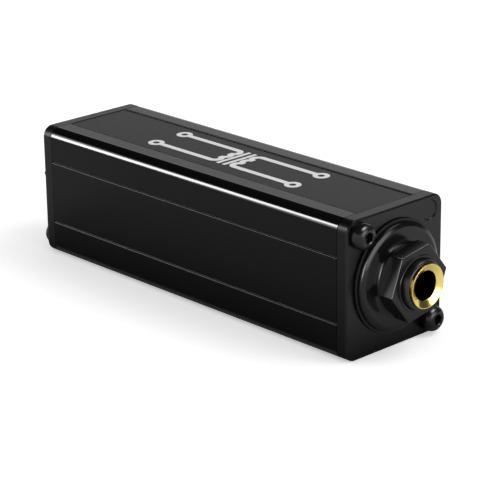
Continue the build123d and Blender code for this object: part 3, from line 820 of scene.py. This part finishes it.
class ISOLATOR_OT_caps(bpy.types.Operator):
    """Build the two end caps with their spigots, holes and dimples"""

    bl_idname = "isolator.caps"
    bl_label = "End caps"

    def execute(self, context):
        sizes, colours = settings(context)
        material = cap_anodised(colours)
        half_y, half_z = body_high.y, middle_height
        thickness = sizes.cap_thickness
        hole = sizes.screw_radius + SCREW_HOLE_GAP
        deep, broad = sizes.badge_depth, sizes.badge_radius
        dimple = [(-deep, 0), (-deep, broad - deep), (0, broad), (OVERCUT, broad), (OVERCUT, 0)]
        for end, side in ENDS.items():
            inner = outwards(f"{end}_end_cap", side)[0]
            bm = block((-thickness, -half_y, -half_z), (0, half_y, half_z))
            long_edges = [
                edge
                for edge in bm.edges
                if abs(edge.verts[0].co.x - edge.verts[1].co.x) > thickness / 2
            ]
            soften(bm, long_edges, sizes.corner_radius, CORNER_STEPS)
            rims = ((0.0, sizes.cap_edge_round, EDGE_STEPS), (-thickness, sizes.seam_chamfer, 1))
            for x, offset, steps in rims:
                rim = [e for e in bm.edges if all(abs(v.co.x - x) < LEVEL for v in e.verts)]
                soften(bm, rim, offset, steps)
            wide = half_y - sizes.wall - sizes.rib_depth - SPIGOT_GAP
            low = half_z - sizes.screw_inset_z - sizes.channel_radius - SPIGOT_GAP
            narrow = half_y - sizes.screw_inset_y - sizes.channel_radius - SPIGOT_GAP
            tall = half_z - sizes.wall - SPIGOT_GAP
            for y, z in ((wide, low), (narrow, tall)):
                bm = combined(bm, block((inner, -y, -z), (-thickness / 2, y, z)), "UNION")
            bore = turned(cylinder(inner - OVERCUT, OVERCUT, sizes.clamp_bore))
            bm = combined(bm, moved(bore, 0, socket_height - middle_height), "DIFFERENCE")
            for y, z in screw_places(sizes):
                bore = turned(cylinder(inner - OVERCUT, OVERCUT, hole), steps=HOLE_STEPS)
                bm = combined(bm, moved(bore, y, z), "DIFFERENCE")
            y, z = half_y - sizes.badge_inset_y, half_z - sizes.badge_inset_z
            bm = combined(bm, moved(turned(dimple, steps=DISH_STEPS), y, z), "DIFFERENCE")
            end_piece(end, "cap", bm, middle_height, material, "end_cap")
        return {"FINISHED"}


def screw_places(sizes):
    y = body_high.y - sizes.screw_inset_y
    z = middle_height - sizes.screw_inset_z
    return [(-y, z), (y, -z)]


class ISOLATOR_OT_screws(bpy.types.Operator):
    """Build the domed cap screws with their hexagon sockets"""

    bl_idname = "isolator.screws"
    bl_label = "Cap screws"

    def execute(self, context):
        sizes, colours = settings(context)
        material = black_oxide(colours)
        height, head, shank = sizes.screw_head_height, sizes.screw_head_radius, sizes.screw_radius
        tip, point, under_round = -sizes.screw_length, 0.3, 0.1
        profile = [
            (tip, 0),
            (tip, shank - point),
            (tip + point, shank),
            (0, shank),
            (0, head),
            (height, head),
            (height, 0),
        ]
        corner, turn, over = sizes.socket_flats / math.sqrt(3), 0.4, 0.5
        lead = height - 0.12
        chamfer = [
            (lead, 0),
            (lead, lead - height + corner),
            (height + over, corner + over),
            (height + over, 0),
        ]
        for end in ENDS:
            pair = bmesh.new()
            for y, z in screw_places(sizes):
                bm = turned(profile, {4: under_round, 5: sizes.screw_head_round}, DISH_STEPS)
                socket = hexagon(corner, turn, height - sizes.socket_depth, height + OVERCUT)
                bm = combined(bm, socket, "DIFFERENCE")
                bm = combined(bm, turned(chamfer, steps=DISH_STEPS), "DIFFERENCE")
                screw = bpy.data.meshes.new("screw")
                moved(bm, y, z).to_mesh(screw)
                bm.free()
                pair.from_mesh(screw)
                bpy.data.meshes.remove(screw)
            end_piece(end, "screws", pair, middle_height, material, "cap_screws")
        return {"FINISHED"}


class ISOLATOR_OT_washers(bpy.types.Operator):
    """Build the sealing washers and the flange rings on them"""

    bl_idname = "isolator.washers"
    bl_label = "Washers and rings"

    def execute(self, context):
        sizes, colours = settings(context)
        rubber, moulding = washer_rubber(colours), satin_moulding(colours)
        bore, washer, flange = sizes.clamp_bore, sizes.washer_radius, sizes.flange_radius
        washer_round, foot_round, bevel_round = 0.15, 0.1, 0.3
        for end, side in ENDS.items():
            start, stop = outwards(f"{end}_sealing_washer", side)
            profile = [(start, bore), (start, washer), (stop, washer), (stop, bore)]
            bm = turned(profile, {1: washer_round, 2: washer_round})
            end_piece(end, "washer", bm, socket_height, rubber, "sealing_washer")
            start, stop = outwards(f"{end}_flange_ring", side)
            profile = [
                (start, bore),
                (start, flange),
                (stop - sizes.flange_bevel_height, flange),
                (stop, flange - sizes.flange_bevel_width),
                (stop, bore),
            ]
            bm = turned(profile, {1: foot_round, 2: bevel_round, 3: bevel_round})
            end_piece(end, "ring", bm, socket_height, moulding, "flange_ring")
        return {"FINISHED"}


class ISOLATOR_OT_nuts(bpy.types.Operator):
    """Build the hexagon nuts with their flared feet"""

    bl_idname = "isolator.nuts"
    bl_label = "Nuts"

    def execute(self, context):
        sizes, colours = settings(context)
        material = satin_moulding(colours)
        corner, flare = sizes.nut_corner_radius, sizes.nut_flare_radius
        flat = corner * math.cos(math.radians(30))
        bore, mouth = sizes.bushing_radius + THREAD_GAP, sizes.nut_mouth_chamfer
        lift, hair, inset, past = 0.02, 0.01, 0.1, 0.2
        reach = corner + past
        for end, side in ENDS.items():
            start, stop = outwards(f"{end}_hex_nut", side)
            flare_stop = start + sizes.nut_flare_height
            face = stop - sizes.nut_ring_rise
            bm = hexagon(corner, math.radians(NUT_TURN[end]), start + lift, face)
            outer = [edge for edge in bm.edges if any(v.co.x > face - LEVEL for v in edge.verts)]
            soften(bm, outer, sizes.nut_edge_round, EDGE_STEPS)
            ring = cylinder(start + OVERCUT, stop, sizes.nut_ring_radius)
            bm = combined(bm, turned(ring, {2: sizes.nut_ring_rise * 0.9}), "UNION")
            trim = [
                (start + lift, 0),
                (start + lift, flat - inset),
                (flare_stop - hair, flat - hair),
                (flare_stop + reach - flat, reach),
                (stop + OVERCUT, reach),
                (stop + OVERCUT, 0),
            ]
            bm = combined(bm, turned(trim), "INTERSECT")
            foot = [(start, 0), (start, flare)]
            for step in range(1, FOOT_STEPS + 1):
                angle = math.radians(90) * step / FOOT_STEPS
                rise = sizes.nut_flare_height * (1 - math.cos(angle))
                foot.append((start + rise, flare - (flare - flat) * math.sin(angle)))
            foot.append((flare_stop, 0))
            bm = combined(bm, turned(foot), "UNION")
            thread = [
                (start - OVERCUT, 0),
                (start - OVERCUT, bore),
                (stop - mouth, bore),
                (stop + past, bore + mouth + past),
                (stop + past, 0),
            ]
            bm = combined(bm, turned(thread), "DIFFERENCE")
            end_piece(end, "nut", bm, socket_height, material, "hex_nut")
        return {"FINISHED"}


class ISOLATOR_OT_sockets(bpy.types.Operator):
    """Build the socket housings and their gold ferrules, and finish the contacts"""

    bl_idname = "isolator.sockets"
    bl_label = "Sockets"

    def execute(self, context):
        sizes, colours = settings(context)
        nylon, plating = moulded_nylon(colours), gold_plate(sizes, colours)
        crest_round, funnel_round = 0.05, 0.1
        for end, side in ENDS.items():
            node = f"{end}_jack_housing"
            bm = bmesh.new()
            bm.from_mesh(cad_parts[node].data)
            bmesh.ops.scale(bm, vec=(1 / MM,) * 3, verts=bm.verts[:])
            bmesh.ops.remove_doubles(bm, verts=bm.verts[:], dist=WELD)
            bmesh.ops.dissolve_limit(
                bm, angle_limit=FLAT_ANGLE, verts=bm.verts[:], edges=bm.edges[:]
            )
            piece(f"{end}_socket", bm, nylon, node)
            start, stop = outwards(f"{end}_jack_ferrule", side)
            shoulder = stop - sizes.rim_height
            sleeve = sizes.bore_radius + sizes.sleeve_wall
            profile = [
                (shoulder, sizes.rim_radius),
                (stop, sizes.rim_radius),
                (stop, sizes.rim_radius - sizes.rim_round - sizes.rim_crest),
                (shoulder, sizes.bore_radius),
                (start, sizes.bore_radius),
                (start, sleeve),
                (shoulder, sleeve),
            ]
            bm = turned(profile, {1: sizes.rim_round, 2: crest_round, 3: funnel_round})
            end_piece(end, "ferrule", bm, socket_height, plating, "jack_ferrule")
            for contact in ("tip", "ring", "sleeve"):
                dress(f"{end}_{contact}_contact", spring_bronze())
        return {"FINISHED"}


class ISOLATOR_OT_inside(bpy.types.Operator):
    """Finish the board, the transformer and the small components"""

    bl_idname = "isolator.inside"
    bl_label = "Board and transformer"

    def execute(self, context):
        for node, finish in {
            "circuit_board": solder_mask,
            "transformer_e_core": laminations,
            "transformer_i_core": laminations,
            "transformer_bobbin": ivory_nylon,
            "primary_winding": wound_copper,
            "winding_barrier": barrier_tape,
            "secondary_winding": wound_copper,
            "transformer_pins": tinned_wire,
            "transformer_clamp": zinc_strap,
            "resistor_body": resistor_lacquer,
            "resistor_leads": tinned_wire,
            "capacitor_body": dipped_resin,
            "capacitor_leads": tinned_wire,
        }.items():
            dress(node, finish())
        return {"FINISHED"}


def softbox(name, place, size, brightness, roll=0.0, only=None):
    """A lamp that faces the box; brightness is what a mirror would show, with white as 1."""
    lamp = bpy.data.lights.new(name, "AREA")
    lamp.shape = "RECTANGLE"
    lamp.size, lamp.size_y = size
    lamp.energy = brightness * math.pi * size[0] * size[1]
    light = bpy.data.objects.new(name, lamp)
    light.location = place
    light.rotation_mode = "QUATERNION"
    facing = (Vector(place) - Vector((0, 0, middle_height * MM))).to_track_quat("Z", "Y")
    light.rotation_quaternion = facing @ Quaternion((0, 0, 1), math.radians(roll))
    light.visible_camera = False
    if only:
        lit = bpy.data.collections.new(name)
        for lit_piece in only:
            lit.objects.link(lit_piece)
        light.light_linking.receiver_collection = lit
    bpy.context.scene.collection.objects.link(light)


def photo_camera():
    """Camera at the photograph's angle. Its place is in box heights from the box's middle."""
    height = body_high.z * MM
    azimuth, elevation, roll = (math.radians(angle) for angle in (46.6046, 19.9320, -0.7244))
    distance, right_shift, up_shift = 15.3344, 0.1206, -0.1997
    focal_pixels, photo_pixels = 2109.445, 500
    back = Vector(
        (
            math.sin(azimuth) * math.cos(elevation),
            -math.cos(azimuth) * math.cos(elevation),
            math.sin(elevation),
        )
    )
    right = Vector((0, 0, 1)).cross(back).normalized()
    up = back.cross(right)
    place = (back * distance + right * right_shift + up * up_shift) * height
    place.z += height / 2
    turned_right = right * math.cos(roll) + up * math.sin(roll)
    turned_up = up * math.cos(roll) - right * math.sin(roll)
    basis = Matrix((turned_right, turned_up, back)).transposed().to_4x4()
    data = bpy.data.cameras.new("photo_camera")
    data.sensor_width = 36.0
    data.lens = focal_pixels / photo_pixels * data.sensor_width
    data.clip_start = 0.01
    data.clip_end = 50.0
    camera = bpy.data.objects.new("photo_camera", data)
    camera.matrix_world = Matrix.Translation(place) @ basis
    bpy.context.scene.collection.objects.link(camera)
    bpy.context.scene.camera = camera


def white_floor():
    """White floor that keeps its shadows; in reflections it carries a painted shade that darkens it
    towards the box.
    """
    lift, albedo, painted_shade_darkest, reach, past_ends = 0.4, 0.92, 0.3, 0.055, 1.8
    finish = Finish("white_floor", Roughness=0.9, Specular_IOR_Level=0.0)
    finish.shader.inputs["Emission Color"].default_value = WHITE
    path = finish.add("ShaderNodeLightPath").outputs
    seen = finish.sum(path["Is Camera Ray"], "MULTIPLY", lift)
    mirrored = finish.mirrored(path)
    finish.link(seen, "Emission Strength")
    # Painted shade: for mirrored rays only, the floor's colour is darkened near the box.
    apart = finish.apart()
    along = finish.sum(finish.absolute(apart["X"]), "SUBTRACT", cap_face * MM)
    across = finish.sum(finish.absolute(apart["Y"]), "SUBTRACT", body_high.y * MM)
    away = finish.sum(finish.sum(along, "MULTIPLY", past_ends), "MAXIMUM", across)
    painted_shade = finish.spread(away, painted_shade_darkest, 1.0, 0.0, reach)
    darker = finish.sum(finish.sum(painted_shade, "SUBTRACT", 1.0), "MULTIPLY", mirrored)
    tone = finish.sum(finish.sum(darker, "ADD", 1.0), "MULTIPLY", albedo)
    finish.link(tone, "Base Color")
    return finish.material


def studio_world():
    """White backdrop round the horizon, a dark ceiling in reflections, plain light otherwise."""
    world = bpy.data.worlds.new("studio")
    bpy.context.scene.world = world
    world.use_nodes = True
    world.node_tree.nodes.clear()
    nodes = Nodes(world.node_tree)

    def sky(strength):
        return nodes.add("ShaderNodeBackground", Color=WHITE, Strength=strength).outputs[0]

    def ramp(value, start, end, before, after):
        result = nodes.spread(value, before, after, start, end)
        result.node.interpolation_type = "SMOOTHSTEP"
        return result

    def chosen(by, first, second):
        node = nodes.add("ShaderNodeMixShader")
        for socket, value in zip(node.inputs, (by, first, second)):
            nodes.give(socket, value)
        return node.outputs[0]

    path = nodes.add("ShaderNodeLightPath").outputs
    towards = nodes.add("ShaderNodeTexCoord").outputs["Generated"]
    apart = nodes.add("ShaderNodeSeparateXYZ", Vector=towards).outputs
    leaning = nodes.add("ShaderNodeVectorMath")
    leaning.operation = "DOT_PRODUCT"
    leaning.inputs[1].default_value = (0.6, 0.8, 0.0)
    nodes.give(leaning.inputs[0], towards)
    ceiling = ramp(apart["Z"], 0.4, 0.5, 1.0, 0.02)
    behind = ramp(leaning.outputs["Value"], 0.58, 0.7, 1.0, 0.05)
    rear = ramp(apart["X"], -0.75, -0.66, 0.76, 1.0)
    strength = nodes.sum(nodes.sum(ceiling, "MULTIPLY", behind), "MULTIPLY", rear)
    unseen = chosen(nodes.mirrored(path), sky(0.58), sky(strength))
    nodes.add("ShaderNodeOutputWorld", Surface=chosen(path["Is Camera Ray"], unseen, sky(1.0)))


class ISOLATOR_OT_stage(bpy.types.Operator):
    """Set up the floor, the studio light and the camera"""

    bl_idname = "isolator.stage"
    bl_label = "Stage"

    def execute(self, context):
        bm = bmesh.new()
        bmesh.ops.create_circle(bm, cap_ends=True, segments=FLOOR_STEPS, radius=FLOOR_RADIUS)
        bmesh.ops.translate(bm, vec=(0, 0, -FLOOR_GAP), verts=bm.verts[:])
        mesh = bpy.data.meshes.new("floor")
        bm.to_mesh(mesh)
        bm.free()
        floor = bpy.data.objects.new("floor", mesh)
        context.scene.collection.objects.link(floor)
        mesh.materials.append(white_floor())
        studio_world()

        def both(*kinds):
            return [bpy.data.objects[f"{end}_{kind}"] for kind in kinds for end in ENDS]

        anodised = [bpy.data.objects["case"], *both("cap")]
        moulded = both("nut", "ring")
        fittings = [*moulded, *both("washer", "screws", "socket", "ferrule"), floor]
        sides = [*anodised, *moulded, floor]
        softbox("key_softbox", (0.45, 0.42, 0.85), (0.5, 0.5), 3.0)
        softbox("front_softbox", (0.84, -0.82, 0.26), (1.0, 0.5), 12.0, 0.0, moulded)
        softbox("end_softbox", (1.05, 0.2, 0.25), (0.75, 0.5), 4.5, 0.0, fittings)
        softbox("left_softbox", (-0.86, -0.81, 0.34), (0.6, 0.4), 2.2, 0.0, sides)
        softbox("back_softbox", (-0.48, 0.46, 0.8), (0.5, 0.4), 9.0, 0.0, both("nut"))
        softbox("low_softbox", (-0.845, -0.793, 0.35), (0.7, 0.22), 12.5, 57.0, anodised)
        softbox("screw_softbox", (0.5, 0.1, 0.85), (0.5, 0.5), 12.0, 0.0, both("screws"))
        photo_camera()
        context.scene.view_settings.view_transform = "Standard"
        return {"FINISHED"}


class ISOLATOR_PT_panel(bpy.types.Panel):
    """Lists the isolator's pieces and settings"""

    bl_idname = "ISOLATOR_PT_panel"
    bl_label = "Ground Loop Isolator"
    bl_space_type = "VIEW_3D"
    bl_region_type = "UI"
    bl_category = "Isolator"

    def draw(self, context):
        layout = self.layout
        for operator in OPERATORS:
            layout.operator(operator.bl_idname)
        for group in (context.scene.isolator_sizes, context.scene.isolator_colours):
            box = layout.box()
            for name in group.__annotations__:
                box.prop(group, name)


OPERATORS = (
    ISOLATOR_OT_stage,
    ISOLATOR_OT_case,
    ISOLATOR_OT_plate,
    ISOLATOR_OT_caps,
    ISOLATOR_OT_screws,
    ISOLATOR_OT_washers,
    ISOLATOR_OT_nuts,
    ISOLATOR_OT_sockets,
    ISOLATOR_OT_inside,
)
GROUPS = (IsolatorSizes, IsolatorColours)


def register():
    for made in (*GROUPS, *OPERATORS, ISOLATOR_PT_panel):
        bpy.utils.register_class(made)
    bpy.types.Scene.isolator_sizes = PointerProperty(type=IsolatorSizes)
    bpy.types.Scene.isolator_colours = PointerProperty(type=IsolatorColours)


def unregister():
    del bpy.types.Scene.isolator_colours
    del bpy.types.Scene.isolator_sizes
    for made in reversed((*GROUPS, *OPERATORS, ISOLATOR_PT_panel)):
        bpy.utils.unregister_class(made)


def main():
    register()
    bpy.ops.isolator.case()
    bpy.ops.isolator.plate()
    bpy.ops.isolator.caps()
    bpy.ops.isolator.screws()
    bpy.ops.isolator.washers()
    bpy.ops.isolator.nuts()
    bpy.ops.isolator.sockets()
    bpy.ops.isolator.inside()
    bpy.ops.isolator.stage()


if __name__ == "__main__":
    main()
